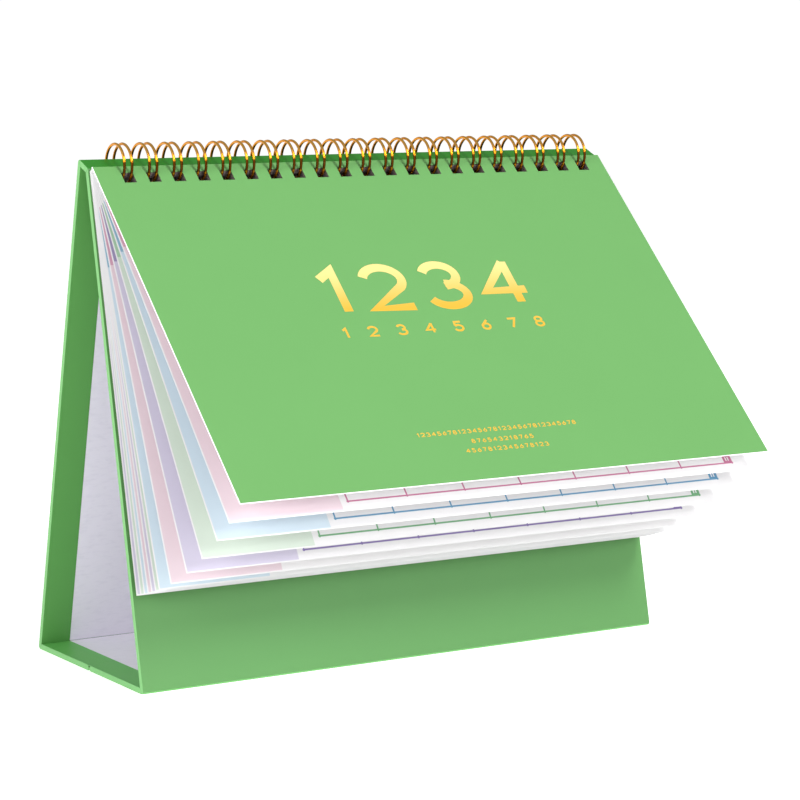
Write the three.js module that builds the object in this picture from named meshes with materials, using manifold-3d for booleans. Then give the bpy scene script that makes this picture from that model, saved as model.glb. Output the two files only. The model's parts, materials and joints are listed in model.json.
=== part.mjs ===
// Desk calendar: a wrapped greyboard easel, a twin-loop wire through its ridge, a cover and twelve month
// leaves. Millimetres, +X along the width, -Y towards the reader, +Z up, standing on Z = 0.
import * as THREE from "three";
import { mergeVertices } from "three/addons/utils/BufferGeometryUtils.js";
import Module from "manifold-3d";

const wasm = await Module();
wasm.setup();

// Easel
const caseWidth = 190;
const baseDepth = 76;
const ridgeHeight = 156.7; // front edge of the ridge above the table
const ridgeSetback = 33.5; // front edge of the ridge behind the front foot
const spineWidth = 7.2; // narrow panel that closes the ridge
const spineTilt = 23; // degrees that the spine rises towards the back
const creaseShare = 0.5; // where the base folds, as a share of its depth from the front
const creaseGap = 1.7; // groove between the two base boards
const creaseDip = 0.9; // how far the covering paper dips into that groove
const creaseShoulder = 0.7; // the dip half way across, for a rounded groove
const weld = 1e-4; // vertices nearer than this are one
const boardThickness = 1.3;
const wrapThickness = 0.2;
const linerThickness = 0.2;
const glueGap = 0.04; // between two glued layers
const jointGap = 0.1; // between two panels at a fold
const turnIn = 10; // covering paper folded round each end of a board
const cornerRadius = 1; // outer rounding of a fold
const cornerSteps = 3;

// Punching
const loopCount = 21;
const endMargin = 10.33; // from each end to the outermost loops: it makes three loops to the inch
const punchShift = 0.9; // the punched row sits this far right of the middle
const holeWidth = 4;
const holeHeight = 4;

// Sheets
const leafCount = 12;
const sheetInset = 0.5; // paper kept inside each end of the case
const sheetLength = 129.4;
const leafThickness = 0.08;
const coverThickness = 0.16;
const sheetGap = 0.03; // air between two closed sheets
const restGap = 0.1; // between the last closed leaf and the front board
const edgeMargin = 2.8; // paper left above the holes
const coverSwing = 160; // degrees that the cover turns from the board to upright
const swingStep = 10; // degrees between the turns at which the holes are laid out
const cutClearance = 1; // how far a cut runs past the faces it goes through

// Degrees that each sheet stands off the front board, from the cover to the seventh sheet
const standingOut = [33.7, 29.8, 25.6, 20.6, 15.7, 10.8, 7.2];
const lastLeafOpen = 0.6;

// Twin-loop wire
const wireDiameter = 1;
const loopRadius = 6.45; // to the middle of the wire
const loopBack = 1.5; // centre of the loops behind the front edge of the ridge
const loopRise = 0.75; // and above it
const twinSpacing = 2.54; // between the two wires of one loop
const seamAngle = 281; // degrees round the loop, from the back over the top, where the loops close
const seamGap = 0.35; // between a loop's tip and the links it closes against
const linkReach = 1.3; // how far a link bows out between two loops
const wireSides = 5;
const loopSteps = 16;
const bendSteps = 4;
const gapSample = 0.4; // spacing of the points on which the wire's gap to itself is measured

const degrees = Math.PI / 180;
const straight = 89 * degrees; // half the angle of a fold that lies flat
const sheetCount = leafCount + 1;
const sheetWidth = caseWidth - 2 * sheetInset;
const loopPitch = (caseWidth - 2 * endMargin) / (loopCount - 1);
const wrapDepth = 2 * wrapThickness + boardThickness + 2 * glueGap;

// Corners of the easel's outline, in the YZ plane
const frontFoot = new THREE.Vector2(0, 0);
const backFoot = new THREE.Vector2(baseDepth, 0);
const crease = new THREE.Vector2(baseDepth * creaseShare, 0);
const ridgeFront = new THREE.Vector2(ridgeSetback, ridgeHeight);
const spineDirection = new THREE.Vector2(Math.cos(spineTilt * degrees), Math.sin(spineTilt * degrees));
const ridgeBack = ridgeFront.clone().addScaledVector(spineDirection, spineWidth);

const lean = Math.atan2(ridgeSetback, ridgeHeight);
const downBoard = new THREE.Vector2(-Math.sin(lean), -Math.cos(lean));

// Centre of the loops
const loopCentre = ridgeFront.clone().add(new THREE.Vector2(loopBack, loopRise));
const firstHole = caseWidth / 2 + punchShift - ((loopCount - 1) / 2) * loopPitch;
const holePlaces = Array.from({ length: loopCount }, (_, i) => firstHole + i * loopPitch);

// Solids

function solidFrom(geometry) {
  const bare = new THREE.BufferGeometry();
  bare.setAttribute("position", geometry.getAttribute("position"));
  if (geometry.index) bare.setIndex(geometry.index);
  const merged = mergeVertices(bare, weld);
  return new wasm.Manifold(
    new wasm.Mesh({
      numProp: 3,
      vertProperties: new Float32Array(merged.getAttribute("position").array),
      triVerts: new Uint32Array(merged.index.array),
    }),
  );
}

function geometryFrom(solid) {
  const mesh = solid.getMesh();
  const geometry = new THREE.BufferGeometry();
  geometry.setAttribute("position", new THREE.BufferAttribute(mesh.vertProperties, 3));
  geometry.setIndex(new THREE.BufferAttribute(mesh.triVerts, 1));
  geometry.computeVertexNormals();
  return geometry;
}

// A profile of [y, z] points pushed along X.
function pushedAlongX(points, fromX, toX) {
  const shape = new THREE.Shape(points.map(([y, z]) => new THREE.Vector2(y, z)));
  const geometry = new THREE.ExtrudeGeometry(shape, { depth: toX - fromX, bevelEnabled: false });
  geometry.applyMatrix4(
    new THREE.Matrix4().makeBasis(
      new THREE.Vector3(0, 1, 0),
      new THREE.Vector3(0, 0, 1),
      new THREE.Vector3(1, 0, 0),
    ),
  );
  geometry.translate(fromX, 0, 0);
  return solidFrom(geometry);
}

// A box from its two corners.
function boxBetween(low, high) {
  const size = high.map((value, i) => value - low[i]);
  return wasm.Manifold.cube(size).translate(low);
}

const parts = new THREE.Group();

function addMesh(parent, name, geometry, color, roughness, metalness = 0) {
  const material = new THREE.MeshStandardMaterial({ color, roughness, metalness });
  const mesh = new THREE.Mesh(geometry, material);
  mesh.name = name;
  parent.add(mesh);
}

// Easel panels

// A panel lies between two corners of the outline. It is made flat, with Y as the depth v into the easel
// and Z as the distance s along its outer face from the start corner, and then put in its place.
class Panel {
  constructor(name, before, start, end, after) {
    this.name = name;
    this.start = start;
    this.along = end.clone().sub(start);
    this.length = this.along.length();
    this.along.divideScalar(this.length);
    this.inward = new THREE.Vector2(this.along.y, -this.along.x);
    const halfAngle = (corner, one, other) => {
      const a = one.clone().sub(corner).angle();
      const b = other.clone().sub(corner).angle();
      const between = Math.abs(a - b) % (2 * Math.PI);
      return Math.min(between, 2 * Math.PI - between) / 2;
    };
    this.startHalf = halfAngle(start, before, end);
    this.endHalf = halfAngle(end, start, after);
  }

  placed(solid) {
    const place = new THREE.Matrix4().makeBasis(
      new THREE.Vector3(1, 0, 0),
      new THREE.Vector3(0, this.inward.x, this.inward.y),
      new THREE.Vector3(0, this.along.x, this.along.y),
    );
    place.setPosition(0, this.start.x, this.start.y);
    return geometryFrom(solid).applyMatrix4(place);
  }

  // How far from a corner a layer of this depth has to stop.
  setback(half) {
    return half > straight ? creaseGap / 2 : wrapDepth / Math.tan(half) + jointGap;
  }

  get from() {
    return this.setback(this.startHalf) + wrapThickness;
  }

  get to() {
    return this.length - this.setback(this.endHalf) - wrapThickness;
  }

  block(s0, s1, v0, v1, x0, x1) {
    return boxBetween([x0, v0, s0], [x1, v1, s1]);
  }

  // Half of a fold as [s, v] points measured from its corner: a rounded corner up to the mitre, or at the
  // crease of the base a dip into the groove.
  foldLine(half, inset) {
    if (half > straight)
      return [
        [jointGap / 2, creaseDip + inset],
        [creaseGap / 4, creaseShoulder + inset],
        [creaseGap / 2, inset],
      ];
    const radius = cornerRadius - inset;
    const centre = [cornerRadius / Math.tan(half), cornerRadius];
    const sweep = Math.PI / 2 - half;
    const line = [];
    for (let i = 0; i <= cornerSteps; i += 1) {
      const turn = sweep * (1 - i / cornerSteps);
      line.push([centre[0] - radius * Math.sin(turn), centre[1] - radius * Math.cos(turn)]);
    }
    line[0][0] += jointGap / 2;
    return line;
  }

  skinLine(inset) {
    const first = this.foldLine(this.startHalf, inset);
    const last = this.foldLine(this.endHalf, inset).map(([s, v]) => [this.length - s, v]);
    return [...first, ...last.reverse()];
  }

  // Where the inner face of the covering paper meets its neighbour's, measured from the corner.
  mitre(half) {
    return wrapDepth / Math.tan(half) + jointGap / 2;
  }

  wrap() {
    const outer = this.skinLine(0).map(([s, v]) => [v, s]);
    const inner = this.skinLine(wrapThickness).map(([s, v]) => [v, s]);
    let solid = pushedAlongX([...outer, ...inner.reverse()], 0, caseWidth);
    const s0 = this.mitre(this.startHalf);
    const s1 = this.length - this.mitre(this.endHalf);
    const plate = [
      ...outer,
      [wrapDepth, this.endHalf > straight ? this.to : s1],
      [wrapDepth, this.startHalf > straight ? this.from : s0],
    ];
    for (const end of [0, 1]) {
      const plateFrom = end ? caseWidth - wrapThickness : 0;
      const turnFrom = end ? caseWidth - turnIn : 0;
      solid = solid
        .add(pushedAlongX(plate, plateFrom, plateFrom + wrapThickness))
        .add(this.block(s0, s1, wrapDepth - wrapThickness, wrapDepth, turnFrom, turnFrom + turnIn));
    }
    return solid;
  }

  board() {
    const v0 = wrapThickness + glueGap;
    const x0 = wrapThickness + glueGap;
    return this.block(this.from, this.to, v0, v0 + boardThickness, x0, caseWidth - x0);
  }

  liner() {
    const v0 = wrapThickness + 2 * glueGap + boardThickness;
    const x0 = turnIn + jointGap;
    const s0 = this.from - wrapThickness;
    const s1 = this.to + wrapThickness;
    return this.block(s0, s1, v0, v0 + linerThickness, x0, caseWidth - x0);
  }

  // Distance along this panel to the middle of the stretch that a loop sweeps between its two faces.
  loopCrossing() {
    const toCentre = loopCentre.clone().sub(this.start);
    const depth = toCentre.dot(this.inward);
    const near = Math.sqrt((loopRadius - wireDiameter / 2) ** 2 - depth ** 2);
    const far = Math.sqrt((loopRadius + wireDiameter / 2) ** 2 - (depth - wrapDepth) ** 2);
    const down = this.along.y > 0 ? -1 : 1;
    return toCentre.dot(this.along) + (down * (near + far)) / 2;
  }

  punch(solid) {
    const s = this.loopCrossing();
    let punched = solid;
    for (const x of holePlaces) {
      const hole = this.block(
        s - holeHeight / 2,
        s + holeHeight / 2,
        -cutClearance,
        wrapDepth + cutClearance,
        x - holeWidth / 2,
        x + holeWidth / 2,
      );
      punched = punched.subtract(hole);
    }
    return punched;
  }
}

const wrapGreen = 0x82c176;
const boardGrey = 0x9b9690;
const linerLilac = 0xd6d3de;

const outline = [frontFoot, ridgeFront, ridgeBack, backFoot, crease];
const panelNames = ["front", "spine", "back", "base_rear", "base_front"];
const panels = outline.map((corner, i) => {
  const at = (step) => outline[(i + step + outline.length) % outline.length];
  return new Panel(panelNames[i], at(-1), corner, at(1), at(2));
});

for (const panel of panels) {
  const punched = panel.name === "front" || panel.name === "back";
  const finish = (solid) => panel.placed(punched ? panel.punch(solid) : solid);
  addMesh(parts, panel.name + "_board", finish(panel.board()), boardGrey, 0.95);
  addMesh(parts, panel.name + "_wrap", finish(panel.wrap()), wrapGreen, 0.55);
  const ownLiner = !panel.name.startsWith("base");
  if (ownLiner) addMesh(parts, panel.name + "_liner", finish(panel.liner()), linerLilac, 0.8);
}

// One liner bridges the crease of the base.
const wholeBase = new Panel("base", ridgeBack, backFoot, frontFoot, ridgeFront);
addMesh(parts, "base_liner", wholeBase.placed(wholeBase.liner()), linerLilac, 0.8);

// Sheets

// The sheets turn about the front edge of the ridge. Distance down a sheet at which the wire goes through
// it, for a sheet this far off the board's plane and turned this far from it.
function wireCrossing(offset, turned) {
  const angle = downBoard.angle() - turned;
  const down = new THREE.Vector2(Math.cos(angle), Math.sin(angle));
  const off = new THREE.Vector2(down.y, -down.x);
  const toCentre = loopCentre.clone().sub(ridgeFront);
  const apart = offset - toCentre.dot(off);
  return toCentre.dot(down) + Math.sqrt(loopRadius ** 2 - apart ** 2);
}

const stackFace = restGap + leafCount * (leafThickness + sheetGap) + coverThickness;
const crossings = [wireCrossing(restGap, 0)];
for (let turned = 0; turned <= coverSwing; turned += swingStep)
  crossings.push(wireCrossing(stackFace, turned * degrees));
const holeMiddle = (Math.min(...crossings) + Math.max(...crossings)) / 2;
const holeTop = holeMiddle - holeHeight / 2;
const sheetTop = holeTop - edgeMargin;
console.log("wire crosses the sheets", Math.min(...crossings), "to", Math.max(...crossings), "mm down");

function openAngle(index) {
  if (index < standingOut.length) return standingOut[index];
  const firstClose = standingOut.length - 1;
  const share = (index - firstClose) / (sheetCount - 1 - firstClose);
  return THREE.MathUtils.lerp(standingOut[firstClose], lastLeafOpen, share);
}

function punchedSheet(thickness, innerFace) {
  const left = (caseWidth - sheetWidth) / 2;
  const outerFace = innerFace + thickness;
  const sheetEnd = sheetTop + sheetLength;
  let sheet = boxBetween([left, -outerFace, -sheetEnd], [left + sheetWidth, -innerFace, -sheetTop]);
  for (const x of holePlaces) {
    const hole = boxBetween(
      [x - holeWidth / 2, -outerFace - cutClearance, -holeTop - holeHeight],
      [x + holeWidth / 2, -innerFace + cutClearance, -holeTop],
    );
    sheet = sheet.subtract(hole);
  }
  return geometryFrom(sheet);
}

const pastels = [0xf9e9f1, 0xdeeef9, 0xe7f3e7, 0xdfdaec];
for (let index = 0; index < sheetCount; index += 1) {
  const turned = new THREE.Group();
  turned.position.set(0, ridgeFront.x, ridgeFront.y);
  turned.rotation.x = -lean - openAngle(index) * degrees;
  const below = sheetCount - 1 - index;
  const innerFace = restGap + below * (leafThickness + sheetGap);
  const isCover = index === 0;
  const name = isCover ? "cover_sheet" : "leaf_" + String(index).padStart(2, "0");
  const geometry = punchedSheet(isCover ? coverThickness : leafThickness, innerFace);
  const color = isCover ? wrapGreen : pastels[(index - 1) % pastels.length];
  addMesh(turned, name, geometry, color, isCover ? 0.5 : 0.7);
  parts.add(turned);
}

// Twin-loop wire

// A point on the loops' drum: travel is measured along the wire's middle from the seam.
function onDrum(x, travel) {
  const angle = seamAngle * degrees + travel / loopRadius;
  return new THREE.Vector3(
    x,
    loopCentre.x + loopRadius * Math.cos(angle),
    loopCentre.y + loopRadius * Math.sin(angle),
  );
}

// A U-bend on the drum from one x to another: reach is how far it bows along the loop.
function bend(fromX, toX, travel, reach) {
  const points = [];
  const middle = (fromX + toX) / 2;
  const half = (toX - fromX) / 2;
  for (let i = 1; i < bendSteps; i += 1) {
    const turn = (Math.PI * i) / bendSteps;
    points.push(onDrum(middle - half * Math.cos(turn), travel + reach * Math.sin(turn)));
  }
  return points;
}

function wirePath() {
  const points = [];
  const tipReach = twinSpacing / 2;
  const loopTravel = 2 * Math.PI * loopRadius - wireDiameter - seamGap - tipReach;
  const run = (x, from, to) => {
    for (let i = 0; i <= loopSteps; i += 1) points.push(onDrum(x, from + ((to - from) * i) / loopSteps));
  };
  holePlaces.forEach((x, i) => {
    const left = x - twinSpacing / 2;
    const right = x + twinSpacing / 2;
    run(left, 0, loopTravel);
    points.push(...bend(left, right, loopTravel, tipReach));
    run(right, loopTravel, 0);
    if (i < loopCount - 1) points.push(...bend(right, right + loopPitch - twinSpacing, 0, -linkReach));
  });
  return points;
}

// The least air between stretches of the wire that aren't neighbours round a U-bend.
function leastGap(points) {
  const samples = [];
  let travel = 0;
  for (let i = 1; i < points.length; i += 1) {
    const length = points[i].distanceTo(points[i - 1]);
    const count = Math.ceil(length / gapSample);
    for (let k = 0; k < count; k += 1) {
      const point = points[i - 1].clone().lerp(points[i], k / count);
      samples.push({ point, travel: travel + (length * k) / count });
    }
    travel += length;
  }
  const roundBend = (Math.PI * twinSpacing) / 2;
  let least = Infinity;
  samples.forEach((one, i) => {
    for (let k = i + 1; k < samples.length; k += 1) {
      if (samples[k].travel - one.travel < roundBend) continue;
      least = Math.min(least, one.point.distanceTo(samples[k].point));
    }
  });
  return least - wireDiameter;
}

// A tube of one unbroken skin along a line of points.
function tube(points, radius, sides) {
  const positions = [];
  const indices = [];
  const across = new THREE.Vector3(0, 1, 0);
  points.forEach((point, i) => {
    const before = points[Math.max(i - 1, 0)];
    const after = points[Math.min(i + 1, points.length - 1)];
    const ahead = after.clone().sub(before).normalize();
    across.addScaledVector(ahead, -across.dot(ahead)).normalize();
    const third = ahead.clone().cross(across);
    for (let side = 0; side < sides; side += 1) {
      const angle = (2 * Math.PI * side) / sides;
      const corner = point
        .clone()
        .addScaledVector(across, radius * Math.cos(angle))
        .addScaledVector(third, radius * Math.sin(angle));
      positions.push(corner.x, corner.y, corner.z);
    }
  });
  for (let i = 0; i < points.length - 1; i += 1)
    for (let side = 0; side < sides; side += 1) {
      const a = i * sides + side;
      const b = i * sides + ((side + 1) % sides);
      indices.push(a, b, b + sides, a, b + sides, a + sides);
    }
  const last = (points.length - 1) * sides;
  for (let side = 1; side < sides - 1; side += 1) {
    indices.push(0, side + 1, side);
    indices.push(last, last + side, last + side + 1);
  }
  const geometry = new THREE.BufferGeometry();
  geometry.setAttribute("position", new THREE.Float32BufferAttribute(positions, 3));
  geometry.setIndex(indices);
  geometry.computeVertexNormals();
  return geometry;
}

const wire = wirePath();
console.log("least gap of the wire to itself", leastGap(wire).toFixed(2), "mm");
addMesh(parts, "twin_loop_wire", tube(wire, wireDiameter / 2, wireSides), 0xd9982f, 0.25, 1);

// The origin is the middle of the underside of the box round the whole calendar.
const calendar = new THREE.Group();
calendar.add(parts);
const extent = new THREE.Box3().setFromObject(parts, true);
const middle = extent.getCenter(new THREE.Vector3());
parts.position.set(-middle.x, -middle.y, -extent.min.z);
console.log("front foot at y", -middle.y, "turning line at y", ridgeSetback - middle.y, "z", ridgeHeight);

export default calendar;
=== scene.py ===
"""Looks of the desk calendar: printed paper, liner, board, foil and the gilt wire, with camera and light.

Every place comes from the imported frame, in metres: +X along the ridge, -Y towards the reader, +Z up.
"""

import json
import logging
import math
from dataclasses import dataclass, field
from enum import Enum
from functools import cached_property

import bpy
from mathutils import Matrix, Vector


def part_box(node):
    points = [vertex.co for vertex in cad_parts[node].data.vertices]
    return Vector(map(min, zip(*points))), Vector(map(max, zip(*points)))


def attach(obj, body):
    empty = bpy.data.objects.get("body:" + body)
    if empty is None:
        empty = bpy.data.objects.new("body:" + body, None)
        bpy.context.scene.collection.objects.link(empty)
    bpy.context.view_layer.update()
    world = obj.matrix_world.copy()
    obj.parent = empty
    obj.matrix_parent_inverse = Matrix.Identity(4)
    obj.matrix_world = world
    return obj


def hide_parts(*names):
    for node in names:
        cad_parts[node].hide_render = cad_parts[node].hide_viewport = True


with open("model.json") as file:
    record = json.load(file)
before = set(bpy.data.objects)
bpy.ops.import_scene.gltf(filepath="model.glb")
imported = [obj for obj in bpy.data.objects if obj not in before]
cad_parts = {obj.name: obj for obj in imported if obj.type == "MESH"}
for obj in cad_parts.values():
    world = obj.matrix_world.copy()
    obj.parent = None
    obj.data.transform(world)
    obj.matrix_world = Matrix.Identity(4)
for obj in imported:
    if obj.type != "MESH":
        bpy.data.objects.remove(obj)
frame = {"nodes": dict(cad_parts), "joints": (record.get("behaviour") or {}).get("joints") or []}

log = logging.getLogger("desk calendar")

MM = 0.001
ACROSS = Vector((1.0, 0.0, 0.0))
BEHIND = Vector((0.0, 1.0, 0.0))
UPWARD = Vector((0.0, 0.0, 1.0))
HOLE_EDGE = 0.1
PRINT_GRAIN = 1900.0
FINE_RELIEF = 0.00002
Colour = tuple[float, float, float]


def linear(red: int, green: int, blue: int) -> Colour:
    """Turns a screen colour into the linear one that shaders use.

    Args:
        red, green, blue: the channels, from 0 to 255.

    Returns:
        The same colour in linear light.
    """

    def channel(value: float) -> float:
        """One channel, from the screen's curve to linear light."""
        share = value / 255
        return share / 12.92 if share <= 0.04045 else ((share + 0.055) / 1.055) ** 2.4

    return channel(red), channel(green), channel(blue)


class Value:
    """A shader socket that works with numbers and other sockets through the usual operators."""

    def __init__(self, graph: "Graph", socket: bpy.types.NodeSocket) -> None:
        """Wraps a socket of a graph."""
        self.graph = graph
        self.socket = socket

    def __add__(self, other: "Value | float") -> "Value":
        """Sum."""
        return self.graph.math("ADD", self, other)

    __radd__ = __add__

    def __sub__(self, other: "Value | float") -> "Value":
        """Difference."""
        return self.graph.math("SUBTRACT", self, other)

    def __rsub__(self, other: float) -> "Value":
        """Difference from a number."""
        return self.graph.math("SUBTRACT", other, self)

    def __mul__(self, other: "Value | float") -> "Value":
        """Product."""
        return self.graph.math("MULTIPLY", self, other)

    def __truediv__(self, other: "Value | float") -> "Value":
        """Quotient."""
        return self.graph.math("DIVIDE", self, other)

    def __abs__(self) -> "Value":
        """Size without sign."""
        return self.graph.math("ABSOLUTE", self)

    def fraction(self) -> "Value":
        """What is left after the whole number."""
        return self.graph.math("FRACT", self)

    def higher(self, other: "Value | float") -> "Value":
        """The larger of two."""
        return self.graph.math("MAXIMUM", self, other)

    def rise(self, start: float, end: float) -> "Value":
        """Goes smoothly from 0 at start to 1 at end."""
        node = self.graph.node(
            "ShaderNodeMapRange",
            {"interpolation_type": "SMOOTHSTEP"},
            {"Value": self, "From Min": start, "From Max": end},
        )
        return Value(self.graph, node.outputs["Result"])

    def within(self, start: float, end: float, soft: float) -> "Value":
        """1 between start and end, and 0 outside, with edges this soft."""
        return self.rise(start - soft, start) * (1.0 - self.rise(end, end + soft))


class Graph:
    """The node tree of one material."""

    def __init__(self, name: str) -> None:
        """Makes a material with a principled shader."""
        self.material = bpy.data.materials.new(name)
        self.material.use_nodes = True
        self.tree = self.material.node_tree
        self.shader = self.tree.nodes["Principled BSDF"]

    def node(self, kind: str, settings: dict | None = None, sockets: dict | None = None) -> bpy.types.Node:
        """Adds a node.

        Args:
            kind: the node's type.
            settings: its properties by name.
            sockets: values, or Value objects to link, by input name or number.

        Returns:
            The node.
        """
        made = self.tree.nodes.new(kind)
        for name, value in (settings or {}).items():
            setattr(made, name, value)
        for name, value in (sockets or {}).items():
            self.feed(made.inputs[name], value)
        return made

    def feed(self, socket: bpy.types.NodeSocket, value: "Value | float | tuple") -> None:
        """Links a Value to an input, or sets the input to a constant."""
        if isinstance(value, Value):
            self.tree.links.new(value.socket, socket)
        elif isinstance(value, tuple) and len(value) == 3 and socket.type == "RGBA":
            socket.default_value = (*value, 1.0)
        else:
            socket.default_value = value

    def math(self, operation: str, *values: "Value | float") -> Value:
        """A Math node's result."""
        made = self.node("ShaderNodeMath", {"operation": operation}, dict(enumerate(values)))
        return Value(self, made.outputs[0])

    def mix(self, factor: "Value | float", first: "Value | Colour", second: "Value | Colour") -> Value:
        """A colour between two, the second where factor is 1."""
        made = self.node("ShaderNodeMix", {"data_type": "RGBA"})
        self.feed(made.inputs[0], factor)
        self.feed(made.inputs[6], first)
        self.feed(made.inputs[7], second)
        return Value(self, made.outputs[2])

    def place(self) -> Value:
        """Place on the piece at rest, in metres."""
        return Value(self, self.node("ShaderNodeTexCoord").outputs["Object"])

    def facing(self) -> Value:
        """Direction the surface faces at rest."""
        return Value(self, self.node("ShaderNodeTexCoord").outputs["Normal"])

    def along(self, vector: Value, direction: Vector) -> Value:
        """How far a vector reaches in a direction."""
        ends = {0: vector, 1: tuple(direction)}
        made = self.node("ShaderNodeVectorMath", {"operation": "DOT_PRODUCT"}, ends)
        return Value(self, made.outputs["Value"])

    def noise(self, scale: float, detail: float, stretch: tuple = (1.0, 1.0, 1.0)) -> Value:
        """Noise on the piece, from 0 to 1.

        Args:
            scale: grains per metre.
            detail: octaves.
            stretch: how many times denser along each axis.

        Returns:
            The noise.
        """
        mapped = self.node("ShaderNodeMapping", {}, {"Vector": self.place(), "Scale": stretch})
        made = self.node(
            "ShaderNodeTexNoise",
            {},
            {"Vector": Value(self, mapped.outputs[0]), "Scale": scale, "Detail": detail, "Roughness": 0.6},
        )
        return Value(self, made.outputs[0])

    def bump(self, height: Value, depth: float, strength: float) -> None:
        """Raises the surface by a height from 0 to 1, times depth in metres."""
        made = self.node("ShaderNodeBump", {}, {"Height": height, "Distance": depth, "Strength": strength})
        self.feed(self.shader.inputs["Normal"], Value(self, made.outputs[0]))

    def finish(
        self, colour: "Value | Colour", roughness: "Value | float", **others: float
    ) -> bpy.types.Material:
        """Feeds the shader.

        Args:
            colour: base colour.
            roughness: roughness.
            others: further inputs, spaces written as underscores.

        Returns:
            The material.
        """
        self.feed(self.shader.inputs["Base Color"], colour)
        self.feed(self.shader.inputs["Roughness"], roughness)
        for name, value in others.items():
            self.feed(self.shader.inputs[name.replace("_", " ")], value)
        return self.material


def hole_walls(graph: Graph, flatness: Value, band: Value) -> Value:
    """1 on the walls of the punched holes, 0 on the faces and outer edges.

    Args:
        graph: the material's graph.
        flatness: 1 where the surface lies in the plane of its sheet or panel.
        band: 1 in the strip that holds the row of holes.

    Returns:
        The mask.
    """
    low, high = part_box("twin_loop_wire")
    margin = 2 * MM
    across = graph.along(graph.place(), ACROSS)
    beside = across.within(low[0] - margin, high[0] + margin, HOLE_EDGE * MM)
    return beside * band * (1.0 - flatness.rise(0.3, 0.5))


@dataclass(frozen=True)
class HoleRow:
    """The row of holes along the ridge, in millimetres.

    shift is where its middle lies across, and ring how far the painted shade beside a hole reaches.
    """

    count: int = 21
    pitch: float = 8.467
    shift: float = 0.9
    width: float = 4.0
    height: float = 4.0
    margin: float = 2.8
    ring: float = 0.9

    @property
    def first(self) -> float:
        """Place across of the first hole."""
        return self.shift - (self.count - 1) / 2 * self.pitch

    def shade(self, graph: Graph, down: Value) -> Value:
        """1 right beside a hole, fading to 0 at the ring's width: where the painted shade goes.

        Args:
            graph: the material's graph.
            down: millimetres down the sheet.

        Returns:
            The mask.
        """
        across = graph.along(graph.place(), ACROSS) / MM
        place = (across - self.first) / self.pitch + 0.5
        beside = abs(place.fraction() - 0.5) * self.pitch - self.width / 2
        above = abs(down - self.margin - self.height / 2) - self.height / 2
        in_row = place.within(0.0, float(self.count), 0.01)
        return (1.0 - beside.higher(above).rise(self.ring / 3, self.ring)) * in_row


@dataclass(frozen=True)
class WrapPaper:
    """Green printed covering paper with a satin film. It is lighter where it is folded over an edge: partly
    rubbed wear, partly painted highlight.

    Its holes lie between holes_start below the wire and holes_end below the wire's middle, in millimetres.
    """

    base: Colour = linear(92, 156, 80)
    cloudy: Colour = linear(84, 146, 72)
    # folded is the lighter colour of folds and end flanges: partly rubbed wear, partly painted highlight.
    folded: Colour = linear(116, 176, 108)
    # Dark brown painted shade for the walls of the punched holes.
    hole_shadow: Colour = linear(66, 46, 40)
    mottle: float = 0.1
    roughness: float = 0.42
    holes_start: float = 3.0
    holes_end: float = 2.0

    def material(self, name: str, outward: Vector) -> bpy.types.Material:
        """Makes the material of one panel's paper.

        Args:
            name: the material's name.
            outward: direction that the panel's outer face looks in.

        Returns:
            The material.
        """
        graph = Graph(name)
        flatness = abs(graph.along(graph.facing(), outward))
        cloud = graph.noise(38.0, 3.0)
        grain = graph.noise(PRINT_GRAIN, 2.0)
        printed = graph.mix(cloud * self.mottle, self.base, self.cloudy)
        # Lighter where the surface turns away from the panel's face: partly rubbed wear, partly painted
        # highlight.
        colour = graph.mix(1.0 - flatness.rise(0.55, 0.97), printed, self.folded)
        low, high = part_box("twin_loop_wire")
        height = graph.along(graph.place(), UPWARD)
        top = (low[2] + high[2]) / 2 - self.holes_end * MM
        band = height.within(low[2] - self.holes_start * MM, top, HOLE_EDGE * MM)
        # Painted shade: the hole walls are darkened to dark brown.
        colour = graph.mix(hole_walls(graph, flatness, band), colour, self.hole_shadow)
        graph.bump(grain, FINE_RELIEF, 0.35)
        return graph.finish(colour, self.roughness + cloud * 0.1, Specular_IOR_Level=0.2)


@dataclass(frozen=True)
class LinerPaper:
    """Uncoated lilac-grey lining paper with fine fibres, with painted shade darkening it high inside the
    ridge.
    """

    base: Colour = linear(246, 243, 252)
    fibre: Colour = linear(226, 223, 236)
    # Colour of the painted shade inside the ridge, which rises between dim_from and dim_to metres up.
    dim: Colour = linear(70, 52, 46)
    dim_from: float = 0.143
    dim_to: float = 0.149

    def material(self, name: str) -> bpy.types.Material:
        """Makes the material."""
        graph = Graph(name)
        fibres = graph.noise(900.0, 4.0, (0.3, 1.0, 1.0))
        cloud = graph.noise(30.0, 2.0)
        colour = graph.mix(fibres.rise(0.45, 0.75) * 0.35 + cloud * 0.1, self.base, self.fibre)
        height = graph.along(graph.place(), UPWARD)
        # Painted shade: darker brown towards the top, inside the ridge.
        colour = graph.mix(height.rise(self.dim_from, self.dim_to), colour, self.dim)
        graph.bump(fibres, 0.00003, 0.5)
        return graph.finish(colour, 0.85)


@dataclass(frozen=True)
class Greyboard:
    """Pressed board of waste paper: grey-brown with pale and dark flecks."""

    base: Colour = linear(120, 112, 104)
    fleck: Colour = linear(88, 80, 74)

    def material(self, name: str) -> bpy.types.Material:
        """Makes the material."""
        graph = Graph(name)
        layers = graph.noise(1200.0, 3.0, (0.2, 1.0, 1.0))
        flecks = graph.noise(2600.0, 2.0)
        colour = graph.mix(layers * 0.6 + flecks.rise(0.6, 0.7) * 0.4, self.base, self.fleck)
        graph.bump(layers, 0.00005, 0.6)
        return graph.finish(colour, 0.95)


class Tint(Enum):
    """The four colours that the month leaves are printed in: panel, header and line."""

    PINK = (linear(225, 206, 214), linear(206, 158, 180), linear(186, 104, 140))
    BLUE = (linear(203, 219, 230), linear(142, 180, 202), linear(86, 146, 184))
    GREEN = (linear(207, 220, 207), linear(166, 198, 170), linear(106, 166, 118))
    LILAC = (linear(205, 199, 218), linear(154, 142, 180), linear(128, 110, 168))


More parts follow.
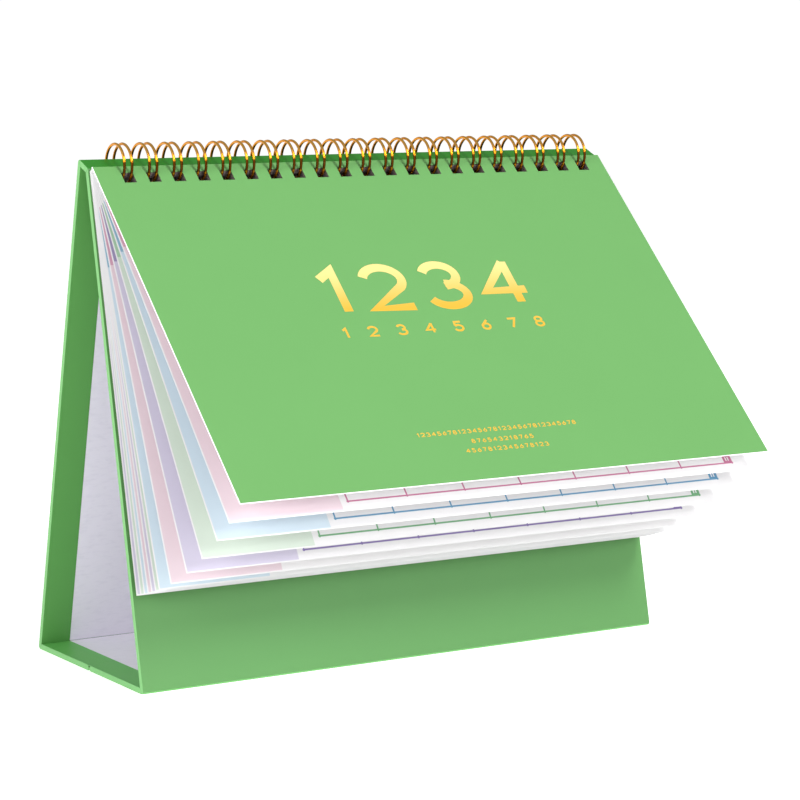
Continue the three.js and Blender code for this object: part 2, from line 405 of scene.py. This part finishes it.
@dataclass(frozen=True)
class LeafLayout:
    """Places on a month leaf in millimetres from its upper left corner."""

    panel_right: float = 37.5
    header_top: float = 12.0
    header_bottom: float = 30.4
    grid_left: float = 40.0
    column: float = 20.2
    columns: int = 7
    grid_top: float = 32.4
    grid_bottom: float = 126.2
    rows: int = 6
    margin: float = 0.5
    line: float = 0.36
    square: float = 2.9
    first_stroke: tuple[float, float] = (0.8, 1.15)
    second_stroke: tuple[float, float] = (1.7, 2.05)
    stroke_height: tuple[float, float] = (0.8, 2.1)
    stroke_edge: float = 0.08

    @property
    def row(self) -> float:
        """Height of a row."""
        return (self.grid_bottom - self.grid_top) / self.rows

    @property
    def grid_right(self) -> float:
        """Right end of the grid."""
        return self.grid_left + self.column * self.columns


@dataclass(frozen=True)
class LeafPaper:
    """White offset paper with one month's plain grid printed on its face.

    hole_shade is how dark the painted shade is right beside a hole, and step half the width, in cells, over
    which the last row and column begin.
    """

    tint: Tint
    white: Colour = linear(233, 232, 233)
    # Dark brown painted shade for the holes: their walls and a ring beside them.
    hole_shadow: Colour = linear(74, 52, 46)
    fibre: Colour = linear(190, 188, 184)
    hole_shade: float = 0.85
    step: float = 0.01
    layout: LeafLayout = LeafLayout()

    def material(self, name: str, sheet: "Sheet") -> bpy.types.Material:
        """Makes the material of one leaf.

        Args:
            name: the material's name.
            sheet: where the leaf lies.

        Returns:
            The material.
        """
        graph = Graph(name)
        panel, header, line = self.tint.value
        page = self.layout
        across, down = sheet.coordinates(graph)
        soft = page.line / 2
        on_panel = across.within(page.margin, page.panel_right, soft)
        on_panel = on_panel * down.within(page.header_top, sheet.length - page.margin, soft)
        on_header = on_panel * (1.0 - down.rise(page.header_bottom, page.header_bottom + soft))
        column = (across - page.grid_left) / page.column
        row = (down - page.grid_top) / page.row
        inside = across.within(page.grid_left - page.line, page.grid_right + page.line, soft)
        inside = inside * down.within(page.grid_top - page.line, page.grid_bottom + page.line, soft)
        lines = self.ruled(column, page.column).higher(self.ruled(row, page.row)) * inside
        to_right = (1.0 - column.fraction()) * page.column
        to_bottom = (1.0 - row.fraction()) * page.row
        last_row = row.rise(page.rows - 1 - self.step, page.rows - 1 + self.step)
        last_column = column.rise(page.columns - 1 - self.step, page.columns - 1 + self.step)
        dated = (1.0 - last_row).higher(last_column) * inside
        square = to_right.within(0.0, page.square, soft) * to_bottom.within(0.0, page.square, soft)
        first = to_right.within(*page.first_stroke, page.stroke_edge)
        second = to_right.within(*page.second_stroke, page.stroke_edge)
        numeral = first.higher(second) * to_bottom.within(*page.stroke_height, page.stroke_edge)
        colour = graph.mix(on_panel, self.white, panel)
        colour = graph.mix(on_header, colour, header)
        colour = graph.mix(lines, colour, line)
        colour = graph.mix(square * dated, colour, line)
        colour = graph.mix(numeral * dated, colour, self.white)
        colour = graph.mix(sheet.front(graph), self.white, colour)
        # Painted shade: a dark ring on the paper around each hole.
        colour = graph.mix(HoleRow().shade(graph, down) * self.hole_shade, colour, self.hole_shadow)
        # Painted shade: the hole walls are darkened to dark brown.
        colour = graph.mix(sheet.punched(graph), colour, self.hole_shadow)
        fibres = graph.noise(1500.0, 3.0)
        colour = graph.mix(fibres * 0.05, colour, self.fibre)
        graph.bump(fibres, FINE_RELIEF, 0.3)
        return graph.finish(colour, 0.62)

    def ruled(self, place: Value, spacing: float) -> Value:
        """Lines at every whole number of place, whose unit is spacing millimetres."""
        half = self.layout.line / 2
        from_line = (0.5 - abs(place.fraction() - 0.5)) * spacing
        return 1.0 - from_line.rise(half, half * 2)


@dataclass(frozen=True)
class CoverPaper:
    """The cover: green print up to a narrow white edge on the left and below. In millimetres."""

    base: Colour = linear(103, 158, 92)
    cloudy: Colour = linear(97, 151, 86)
    white: Colour = linear(252, 252, 252)
    # Dark brown painted shade for the walls of the punched holes.
    hole_shadow: Colour = linear(66, 46, 40)
    edge: float = 0.25
    bleed: float = 1.0
    soft: float = 0.05

    def material(self, name: str, sheet: "Sheet") -> bpy.types.Material:
        """Makes the material of the cover.

        Args:
            name: the material's name.
            sheet: where the cover lies.

        Returns:
            The material.
        """
        graph = Graph(name)
        across, down = sheet.coordinates(graph)
        printed = across.within(self.edge, sheet.width + self.bleed, self.soft)
        printed = printed * down.within(-self.bleed, sheet.length - self.edge, self.soft)
        printed = printed * sheet.front(graph)
        cloud = graph.noise(25.0, 3.0)
        grain = graph.noise(PRINT_GRAIN, 2.0)
        green = graph.mix(cloud * 0.4, self.base, self.cloudy)
        colour = graph.mix(printed, self.white, green)
        # Painted shade: the hole walls are darkened to dark brown.
        colour = graph.mix(sheet.punched(graph), colour, self.hole_shadow)
        graph.bump(grain, FINE_RELIEF, 0.25)
        return graph.finish(colour, 0.45 + grain * 0.1, Specular_IOR_Level=0.2)


@dataclass(frozen=True)
class Foil:
    """Gold foil, paler at its upper edge."""

    upper: Colour = linear(255, 232, 150)
    lower: Colour = linear(240, 186, 60)

    def material(self, name: str, sheet: "Sheet", top: float, bottom: float) -> bpy.types.Material:
        """Makes the material.

        Args:
            name: the material's name.
            sheet: the sheet that the foil lies on.
            top: where the pale colour is, in millimetres down the sheet.
            bottom: where the full colour is.

        Returns:
            The material.
        """
        graph = Graph(name)
        down = sheet.coordinates(graph)[1]
        grain = graph.noise(800.0, 2.0)
        colour = graph.mix(down.rise(top, bottom), self.upper, self.lower)
        graph.bump(grain, 0.00001, 0.3)
        return graph.finish(colour, 0.38 + grain * 0.1, Metallic=0.35)


@dataclass(frozen=True)
class GiltWire:
    """Gold-coloured coating on drawn wire, with painted reflections: maroon streaks of its dark surroundings
    and a painted pale highlight.

    Behind the ridge the painted dark reflection grows over the depths in behind and lightens again over the
    heights in crown. In front, a deep band of painted reflection lies before the depths in front, at the
    heights in band. All are millimetres from the middle of the loops.
    """

    gold: Colour = linear(226, 148, 34)
    # pale is a painted highlight; maroon and deep are painted reflections.
    pale: Colour = linear(255, 216, 112)
    maroon: Colour = linear(88, 22, 6)
    deep: Colour = linear(34, 5, 2)
    behind: tuple[float, float] = (0.5, 4.0)
    crown: tuple[float, float] = (3.8, 6.2)
    front: tuple[float, float] = (-3.0, 0.0)
    band: tuple[float, float] = (-2.2, 0.8)
    band_edge: float = 0.9
    dark_reflection_side: Vector = field(default_factory=lambda: Vector((0.7, 0.5, -0.5)).normalized())
    highlight_side: Vector = field(default_factory=lambda: Vector((-0.6, -0.45, 0.65)).normalized())

    def material(self, name: str, centre: Vector) -> bpy.types.Material:
        """Makes the material.

        Args:
            name: the material's name.
            centre: middle of the loops.

        Returns:
            The material.
        """
        graph = Graph(name)
        normal = graph.facing()
        place = graph.place()
        depth = (graph.along(place, BEHIND) - centre.y) / MM
        above = (graph.along(place, UPWARD) - centre.z) / MM
        away = graph.along(normal, self.dark_reflection_side)
        rear = depth.rise(*self.behind) * (1.0 - above.rise(*self.crown))
        lower_front = (1.0 - depth.rise(*self.front)) * above.within(*self.band, self.band_edge)
        # Painted reflection: maroon on one side of the wire and on the rear legs.
        dark = away.rise(0.1, 0.7) * 0.85
        dark = dark.higher(rear * away.rise(-1.0, -0.1))
        # Painted highlight: pale on the side turned towards the light.
        light = graph.along(normal, self.highlight_side).rise(0.86, 0.98)
        light = light * (1.0 - rear) * (1.0 - lower_front)
        drawn = graph.noise(700.0, 2.0, (0.4, 1.0, 1.0))
        colour = graph.mix(dark, self.gold, self.maroon)
        colour = graph.mix(light * 0.8, colour, self.pale)
        # Painted reflection: a deep band on the front legs just above the holes.
        colour = graph.mix(lower_front * 0.93, colour, self.deep)
        graph.bump(drawn, 0.00001, 0.2)
        return graph.finish(colour, 0.2 + drawn * 0.12, Metallic=1.0)


@dataclass(frozen=True)
class Easel:
    """The wrapped case, in millimetres and degrees. Its panels are the frame's own nodes.

    The lining paper on the walls is painted a shade deeper than that on the base, as painted shade on the
    same paper.
    """

    width: float = 190.0
    ridge_setback: float = 33.5
    ridge_height: float = 156.7
    base_depth: float = 76.0
    spine_width: float = 7.2
    spine_tilt: float = 23.0
    # spine_paper and front_paper are the same green made deeper as painted shade, base_paper paler as
    # painted light.
    spine_paper: WrapPaper = WrapPaper(base=linear(44, 128, 34), cloudy=linear(40, 118, 30))
    front_paper: WrapPaper = WrapPaper(base=linear(88, 138, 80), cloudy=linear(81, 130, 74))
    base_paper: WrapPaper = WrapPaper(base=linear(106, 190, 94), cloudy=linear(98, 180, 86))
    # wall_liner is the same lining paper made deeper, as painted shade.
    wall_liner: LinerPaper = LinerPaper(base=linear(230, 227, 237), fibre=linear(212, 209, 222))

    @property
    def ridge(self) -> Vector:
        """Front edge of the ridge, where the sheets turn."""
        return Vector(frame["joints"][0]["pos_m"])

    @property
    def foot(self) -> Vector:
        """Front foot, in the middle of the width."""
        return self.ridge - Vector((0.0, self.ridge_setback, self.ridge_height)) * MM

    @property
    def lean(self) -> float:
        """How far the front board leans back, in radians."""
        return math.atan2(self.ridge_setback, self.ridge_height)

    def panels(self) -> dict[str, Vector]:
        """Name of each panel and the direction that its outer face looks in."""
        tilt = math.radians(self.spine_tilt)
        back_depth = self.base_depth - self.ridge_setback - self.spine_width * math.cos(tilt)
        back_height = self.ridge_height + self.spine_width * math.sin(tilt)
        back_lean = math.atan2(back_depth, back_height)
        return {
            "front": Vector((0.0, -math.cos(self.lean), math.sin(self.lean))),
            "spine": Vector((0.0, -math.sin(tilt), math.cos(tilt))),
            "back": Vector((0.0, math.cos(back_lean), math.sin(back_lean))),
            "base_rear": -UPWARD,
            "base_front": -UPWARD,
        }

    def paper(self, panel: str) -> WrapPaper:
        """The covering paper of a panel, each a little paler or deeper as painted light and shade, by how
        the light falls on it.
        """
        if panel.startswith("base"):
            return self.base_paper
        return {"spine": self.spine_paper, "front": self.front_paper}.get(panel, WrapPaper())

    def dress(self) -> None:
        """Gives every panel's three layers their materials."""
        board = Greyboard().material("greyboard")
        for name, outward in self.panels().items():
            put_on(name + "_wrap", self.paper(name).material(name + "_paper", outward))
            put_on(name + "_board", board)
            log.info("dressed panel %s", name)
        # The walls get the liner with painted shade.
        shaded = self.wall_liner.material("liner_paper")
        for name in ("front", "spine", "back"):
            put_on(name + "_liner", shaded)
        put_on("base_liner", LinerPaper().material("base_liner_paper"))


@dataclass(frozen=True)
class Sheet:
    """A sheet on the wire: its node and how far it stands off the front board, in degrees.

    Its other sizes are in millimetres; holes is the strip that its holes lie in, measured down the sheet.
    """

    node: str
    body: str
    opened: float
    easel: Easel
    width: float = 189.0
    length: float = 129.4
    holes: tuple[float, float] = (1.5, 12.0)

    @property
    def turned(self) -> float:
        """Angle of the sheet from hanging straight down, in radians."""
        return self.easel.lean + math.radians(self.opened)

    @property
    def downward(self) -> Vector:
        """Direction down the sheet."""
        return Vector((0.0, -math.sin(self.turned), -math.cos(self.turned)))

    @property
    def outward(self) -> Vector:
        """Direction that its printed face looks in."""
        return Vector((0.0, -math.cos(self.turned), math.sin(self.turned)))

    @cached_property
    def corner(self) -> Vector:
        """Upper left corner of the printed face."""
        low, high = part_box(self.node)
        mesh = frame["nodes"][self.node].data
        ridge = self.easel.ridge
        near = min((v.co - ridge).dot(self.downward) for v in mesh.vertices)
        face = max((v.co - ridge).dot(self.outward) for v in mesh.vertices)
        return Vector((low[0], ridge.y, ridge.z)) + self.downward * near + self.outward * face

    def coordinates(self, graph: Graph) -> tuple[Value, Value]:
        """Place on the sheet in a shader.

        Args:
            graph: the material's graph.

        Returns:
            Millimetres from the left edge and millimetres down from the upper edge.
        """
        place = graph.place()
        corner = self.corner
        across = (graph.along(place, ACROSS) - corner.x) / MM
        down = (graph.along(place, self.downward) - corner.dot(self.downward)) / MM
        return across, down

    def front(self, graph: Graph) -> Value:
        """1 on the printed face, 0 on the edges and the back."""
        return graph.along(graph.facing(), self.outward).rise(0.6, 0.9)

    def punched(self, graph: Graph) -> Value:
        """1 on the walls of the sheet's holes."""
        band = self.coordinates(graph)[1].within(*self.holes, HOLE_EDGE)
        return hole_walls(graph, abs(graph.along(graph.facing(), self.outward)), band)

    def point(self, across: float, down: float, above: float = 0.0) -> Vector:
        """A point on the printed face, or above it, from millimetres across and down."""
        step = ACROSS * across + self.downward * down + self.outward * above
        return self.corner + step * MM


def put_on(node: str, material: bpy.types.Material) -> None:
    """Gives a node of the frame one material."""
    mesh = frame["nodes"][node].data
    mesh.materials.clear()
    mesh.materials.append(material)


def add_piece(
    name: str,
    points: list[Vector],
    faces: list[list[int]],
    material: bpy.types.Material,
    body: str,
    smooth: bool,
) -> bpy.types.Object:
    """Adds a mesh piece that rides on a body.

    Args:
        name: the piece's name.
        points: its points in metres.
        faces: its faces as point numbers.
        material: its material.
        body: the body that carries it.
        smooth: whether its faces shade into each other.

    Returns:
        The piece.
    """
    mesh = bpy.data.meshes.new(name)
    mesh.from_pydata(points, [], faces)
    mesh.validate()
    if smooth:
        mesh.shade_smooth()
    mesh.materials.append(material)
    piece = bpy.data.objects.new(name, mesh)
    bpy.context.scene.collection.objects.link(piece)
    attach(piece, body)
    return piece


@dataclass(frozen=True)
class TwinLoopWire:
    """The gilt wire, drawn smooth along the same path as its node. Sizes in millimetres.

    Its section is drawn at plating, a little inside the node's faceted tube.
    """

    easel: Easel
    row: HoleRow = HoleRow()
    diameter: float = 1.0
    plating: float = 0.9
    radius: float = 6.45
    back: float = 1.5
    rise: float = 0.75
    spacing: float = 2.54
    seam_angle: float = 281.0
    seam_gap: float = 0.35
    link_reach: float = 1.3
    loop_steps: int = 48
    bend_steps: int = 10
    sides: int = 10

    @property
    def centre(self) -> Vector:
        """Middle of the loops, in the middle of the width."""
        return self.easel.ridge + Vector((0.0, self.back, self.rise)) * MM

    def on_drum(self, across: float, travel: float) -> Vector:
        """A point of the path: millimetres across, and travelled round the loops from the seam."""
        angle = math.radians(self.seam_angle) + travel / self.radius
        centre = self.centre
        reach = self.radius * MM
        return Vector((across * MM, centre.y + reach * math.cos(angle), centre.z + reach * math.sin(angle)))

    def bend(self, start: float, end: float, travel: float, reach: float) -> list[Vector]:
        """A U-bend between two places across, bowed along the loops by reach."""
        middle = (start + end) / 2
        half = (end - start) / 2
        points = []
        for step in range(1, self.bend_steps):
            turn = math.pi * step / self.bend_steps
            points.append(self.on_drum(middle - half * math.cos(turn), travel + reach * math.sin(turn)))
        return points

    def path(self) -> list[Vector]:
        """Points along the middle of the wire."""
        tip = self.spacing / 2
        far = 2 * math.pi * self.radius - self.diameter - self.seam_gap - tip
        steps = [far * i / self.loop_steps for i in range(self.loop_steps + 1)]
        points = []
        for loop in range(self.row.count):
            left = self.row.first + loop * self.row.pitch - tip
            right = left + self.spacing
            points += [self.on_drum(left, travel) for travel in steps]
            points += self.bend(left, right, far, tip)
            points += [self.on_drum(right, travel) for travel in reversed(steps)]
            if loop < self.row.count - 1:
                points += self.bend(right, left + self.row.pitch, 0.0, -self.link_reach)
        return points

    def build(self) -> None:
        """Sweeps a round section along the path and puts it in the node's place."""
        path = self.path()
        radius = self.plating / 2 * MM
        across = BEHIND
        points: list[Vector] = []
        for place, point in enumerate(path):
            ahead = (path[min(place + 1, len(path) - 1)] - path[max(place - 1, 0)]).normalized()
            across = (across - ahead * across.dot(ahead)).normalized()
            third = ahead.cross(across)
            for side in range(self.sides):
                angle = 2 * math.pi * side / self.sides
                points.append(point + across * radius * math.cos(angle) + third * radius * math.sin(angle))
        faces = []
        for ring in range(len(path) - 1):
            for side in range(self.sides):
                here = ring * self.sides + side
                beside = ring * self.sides + (side + 1) % self.sides
                faces.append([here, beside, beside + self.sides, here + self.sides])
        faces.append(list(reversed(range(self.sides))))
        faces.append([len(points) - self.sides + side for side in range(self.sides)])
        gilt = GiltWire().material("gilt_wire", self.centre)
        wire = add_piece("smooth_wire", points, faces, gilt, "case", True)
        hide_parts("twin_loop_wire")
        log.info("built %s", wire.name)


@dataclass(frozen=True)
class Numeral:
    """A plain numeral as strokes: lists of points in a box one unit high, y downwards."""

    width: float
    strokes: tuple[tuple[tuple[float, float], ...], ...]


def arc(centre: tuple[float, float], radii: tuple[float, float], start: float, end: float) -> tuple:
    """Points of an arc.

    Args:
        centre: its centre.
        radii: its half width and half height.
        start: first angle in degrees, 0 to the right and 90 downwards.
        end: last angle.

    Returns:
        The points.
    """
    steps = max(6, int(abs(end - start) / 9))
    points = []
    for step in range(steps + 1):
        angle = math.radians(start + (end - start) * step / steps)
        points.append((centre[0] + radii[0] * math.cos(angle), centre[1] + radii[1] * math.sin(angle)))
    return tuple(points)


NUMERALS = {
    "1": Numeral(0.4, (((0.02, 0.22), (0.28, 0.02), (0.28, 1.0)),)),
    "2": Numeral(0.72, (arc((0.36, 0.3), (0.34, 0.3), -165, 40) + ((0.02, 0.97), (0.72, 0.97)),)),
    "3": Numeral(
        0.68,
        (arc((0.33, 0.26), (0.3, 0.26), -160, 85), arc((0.33, 0.73), (0.35, 0.27), -85, 160)),
    ),
    "4": Numeral(
        0.76,
        (((0.56, 0.02), (0.02, 0.7), (0.76, 0.7)), ((0.56, 0.0), (0.56, 1.0))),
    ),
    "5": Numeral(
        0.68,
        (((0.62, 0.02), (0.12, 0.02), (0.08, 0.42)), arc((0.32, 0.68), (0.34, 0.31), -140, 160)),
    ),
    "6": Numeral(
        0.68,
        (((0.54, 0.02), (0.24, 0.36), (0.05, 0.62)), arc((0.34, 0.69), (0.31, 0.3), -180, 180)),
    ),
    "7": Numeral(0.66, (((0.02, 0.02), (0.64, 0.02), (0.24, 1.0)),)),
    "8": Numeral(
        0.68,
        (arc((0.34, 0.25), (0.27, 0.24), -180, 180), arc((0.34, 0.74), (0.32, 0.27), -180, 180)),
    ),
}


@dataclass(frozen=True)
class Row:
    """One row of plain numerals on the cover, in millimetres across and down the sheet."""

    name: str
    text: str
    left: float
    right: float
    top: float
    height: float
    stroke: float


@dataclass(frozen=True)
class FoilPrint:
    """Gold foil on the cover: rows of plain numerals. In millimetres.

    Rows higher than shaded_from go from pale to full gold; lower ones start lead above, so they look even.
    Strokes that cross lie a step above each other.
    """

    sheet: Sheet
    thickness: float = 0.02
    step: float = 0.004
    shaded_from: float = 10.0
    lead: float = 20.0
    rows: tuple[Row, ...] = (
        Row("large_numerals", "1234", 58.5, 131.5, 44.0, 20.0, 3.1),
        Row("row_of_numerals", "12345678", 58.5, 131.5, 68.6, 4.4, 0.75),
        Row("first_small_row", "12345678123456781234567812345678", 66.5, 123.5, 110.4, 1.6, 0.28),
        Row("second_small_row", "876543218765", 84.0, 106.0, 114.2, 1.6, 0.28),
        Row("third_small_row", "4567812345678123", 80.5, 110.0, 117.6, 1.6, 0.28),
    )

    def ribbon(self, line: list[tuple[float, float]], width: float, height: float) -> tuple[list, list]:
        """A flat ribbon of foil along a line.

        Args:
            line: points across and down the sheet.
            width: width of the ribbon.
            height: its thickness.

        Returns:
            Its points and faces.
        """
        edge: list[list[tuple[float, float]]] = [[], []]
        for place, (x, y) in enumerate(line):
            before = Vector(line[max(place - 1, 0)])
            after = Vector(line[min(place + 1, len(line) - 1)])
            here = Vector((x, y))
            first = (here - before).normalized() if place else (after - here).normalized()
            second = (after - here).normalized() if place < len(line) - 1 else first
            aside = Vector((-first.y - second.y, first.x + second.x)).normalized()
            spread = width / 2 / max(0.5, aside.dot(Vector((-first.y, first.x))))
            edge[0].append(tuple(here + aside * spread))
            edge[1].append(tuple(here - aside * spread))
        points = []
        for above in (0.0, height):
            for side in edge:
                points += [self.sheet.point(x, y, above) for x, y in side]
        count = len(line)
        faces = []
        for i in range(count - 1):
            for a, b in ((3, 2), (0, 1), (2, 0), (1, 3)):
                faces.append([a * count + i, b * count + i, b * count + i + 1, a * count + i + 1])
        faces.append([0, count, 3 * count, 2 * count])
        last = count - 1
        faces.append([last, 2 * count + last, 3 * count + last, count + last])
        return points, faces

    def piece(self, name: str, ribbons: list[tuple], material: bpy.types.Material) -> None:
        """Joins ribbons into one piece of the cover."""
        points: list[Vector] = []
        faces: list[list[int]] = []
        for ribbon_points, ribbon_faces in ribbons:
            start = len(points)
            points += ribbon_points
            faces += [[start + i for i in face] for face in ribbon_faces]
        add_piece(name, points, faces, material, self.sheet.body, False)
        log.info("printed %s", name)

    def build(self) -> None:
        """Lays down the rows of numerals."""
        for row in self.rows:
            pale_from = row.top if row.height > self.shaded_from else row.top - self.lead
            gold = Foil().material(row.name + "_foil", self.sheet, pale_from, row.top + row.height)
            total = sum(NUMERALS[sign].width for sign in row.text) * row.height
            gap = (row.right - row.left - total) / (len(row.text) - 1)
            high = row.height - row.stroke
            x = row.left
            ribbons = []
            for sign in row.text:
                for layer, stroke in enumerate(NUMERALS[sign].strokes):
                    line = [(x + a * row.height, row.top + row.stroke / 2 + b * high) for a, b in stroke]
                    ribbons.append(self.ribbon(line, row.stroke, self.thickness + layer * self.step))
                x += NUMERALS[sign].width * row.height + gap
            self.piece(row.name, ribbons, gold)


@dataclass(frozen=True)
class PhotoView:
    """The camera that took the photograph, fitted to its corners, with places in millimetres."""

    easel: Easel
    focal_pixels: float = 2686.3
    azimuth: float = -31.83
    elevation: float = 7.33
    right_of_corner: float = 77.12
    above_corner: float = 88.75
    distance: float = 807.28
    frame_pixels: float = 800.0
    sensor: float = 36.0

    def build(self) -> None:
        """Makes the camera and the scene's view of it."""
        turn = math.radians(self.azimuth)
        lift = math.radians(self.elevation)
        back = Vector((math.sin(turn) * math.cos(lift), -math.cos(turn) * math.cos(lift), math.sin(lift)))
        right = Vector((math.cos(turn), math.sin(turn), 0.0))
        up = back.cross(right)
        corner = self.easel.foot - Vector((self.easel.width / 2 * MM, 0.0, 0.0))
        reach = right * self.right_of_corner + up * self.above_corner + back * self.distance
        data = bpy.data.cameras.new("photo_camera")
        data.sensor_width = self.sensor
        data.lens = self.focal_pixels / self.frame_pixels * self.sensor
        data.clip_start = 0.01
        camera = bpy.data.objects.new("photo_camera", data)
        rotation = Matrix((right, up, back)).transposed().to_4x4()
        camera.matrix_world = Matrix.Translation(corner + reach * MM) @ rotation
        bpy.context.scene.collection.objects.link(camera)
        bpy.context.scene.camera = camera


@dataclass(frozen=True)
class Lamp:
    """A square lamp that looks at the calendar: place and side in metres, power in watts."""

    name: str
    place: tuple[float, float, float]
    side: float
    power: float

    def build(self, target: Vector) -> None:
        """Hangs the lamp so that it looks at a point."""
        data = bpy.data.lights.new(self.name, "AREA")
        data.size = self.side
        data.energy = self.power
        lamp = bpy.data.objects.new(self.name, data)
        lamp.location = self.place
        lamp.rotation_euler = (Vector(self.place) - target).to_track_quat("Z", "Y").to_euler()
        bpy.context.scene.collection.objects.link(lamp)


@dataclass(frozen=True)
class Studio:
    """A plain pale floor and soft light.

    The sky's strength goes from horizon to overhead between the two heights in fade, where straight up is 1.
    """

    floor_half: float = 3.0
    floor_colour: Colour = linear(252, 252, 252)
    floor_glow: float = 0.55
    overhead: float = 0.38
    horizon: float = 1.03
    fade: tuple[float, float] = (0.2, 0.5)
    target: tuple[float, float, float] = (0.0, 0.0, 0.08)
    lamps: tuple[Lamp, ...] = (
        Lamp("front", (0.5, -1.4, 0.6), 0.3, 6.0),
        Lamp("key", (0.3, -1.3, 1.11), 0.35, 15.5),
        Lamp("side", (-1.15, -0.4, 0.42), 0.7, 9.0),
    )

    def build(self) -> None:
        """Makes the floor, the sky and the lamps."""
        half = self.floor_half
        mesh = bpy.data.meshes.new("floor")
        corners = [(-half, -half, 0), (half, -half, 0), (half, half, 0), (-half, half, 0)]
        mesh.from_pydata(corners, [], [[0, 1, 2, 3]])
        graph = Graph("floor_paper")
        grain = graph.noise(300.0, 2.0)
        graph.bump(grain, 0.00005, 0.1)
        white = (1.0, 1.0, 1.0)
        glow = {"Emission_Color": white, "Emission_Strength": self.floor_glow}
        mesh.materials.append(graph.finish(self.floor_colour, 0.9, **glow))
        floor = bpy.data.objects.new("floor", mesh)
        bpy.context.scene.collection.objects.link(floor)
        self.sky()
        for lamp in self.lamps:
            lamp.build(Vector(self.target))
        bpy.context.scene.view_settings.view_transform = "Standard"

    def sky(self) -> None:
        """Makes a sky that is bright near the horizon and dimmer overhead."""
        world = bpy.data.worlds.new("sky")
        world.use_nodes = True
        tree = world.node_tree
        direction = tree.nodes.new("ShaderNodeTexCoord")
        split = tree.nodes.new("ShaderNodeSeparateXYZ")
        fade = tree.nodes.new("ShaderNodeMapRange")
        fade.inputs["From Min"].default_value = self.fade[0]
        fade.inputs["From Max"].default_value = self.fade[1]
        fade.inputs["To Min"].default_value = self.horizon
        fade.inputs["To Max"].default_value = self.overhead
        tree.links.new(direction.outputs["Generated"], split.inputs[0])
        tree.links.new(split.outputs["Z"], fade.inputs["Value"])
        tree.links.new(fade.outputs["Result"], tree.nodes["Background"].inputs["Strength"])
        tree.nodes["Background"].inputs["Color"].default_value = (1.0, 1.0, 1.0, 1.0)
        bpy.context.scene.world = world


@dataclass(frozen=True)
class SheetStack:
    """The cover and the month leaves."""

    easel: Easel
    standing_out: tuple[float, ...] = (33.7, 29.8, 25.6, 20.6, 15.7, 10.8, 7.2)
    last_open: float = 0.6
    leaves: int = 12

    def opened(self, place: int) -> float:
        """Degrees that a sheet stands off the board, counted from the cover."""
        known = len(self.standing_out) - 1
        if place <= known:
            return self.standing_out[place]
        share = (place - known) / (self.leaves - known)
        return self.standing_out[known] * (1 - share) + self.last_open * share

    def dress(self) -> Sheet:
        """Gives the sheets their print.

        Returns:
            The cover.
        """
        tints = list(Tint)
        for place in range(1, self.leaves + 1):
            node = f"leaf_{place:02d}"
            leaf = Sheet(node, node + "_sheet", self.opened(place), self.easel)
            put_on(node, LeafPaper(tints[(place - 1) % len(tints)]).material(node + "_print", leaf))
            log.info("printed %s", node)
        cover = Sheet("cover_sheet", "cover", self.opened(0), self.easel)
        put_on("cover_sheet", CoverPaper().material("cover_print", cover))
        return cover


def main() -> None:
    """Builds the scene piece by piece."""
    logging.basicConfig(level=logging.INFO)
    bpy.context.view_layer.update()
    easel = Easel()
    PhotoView(easel).build()
    easel.dress()
    cover = SheetStack(easel).dress()
    TwinLoopWire(easel).build()
    FoilPrint(cover).build()
    Studio().build()


if __name__ == "__main__":
    main()
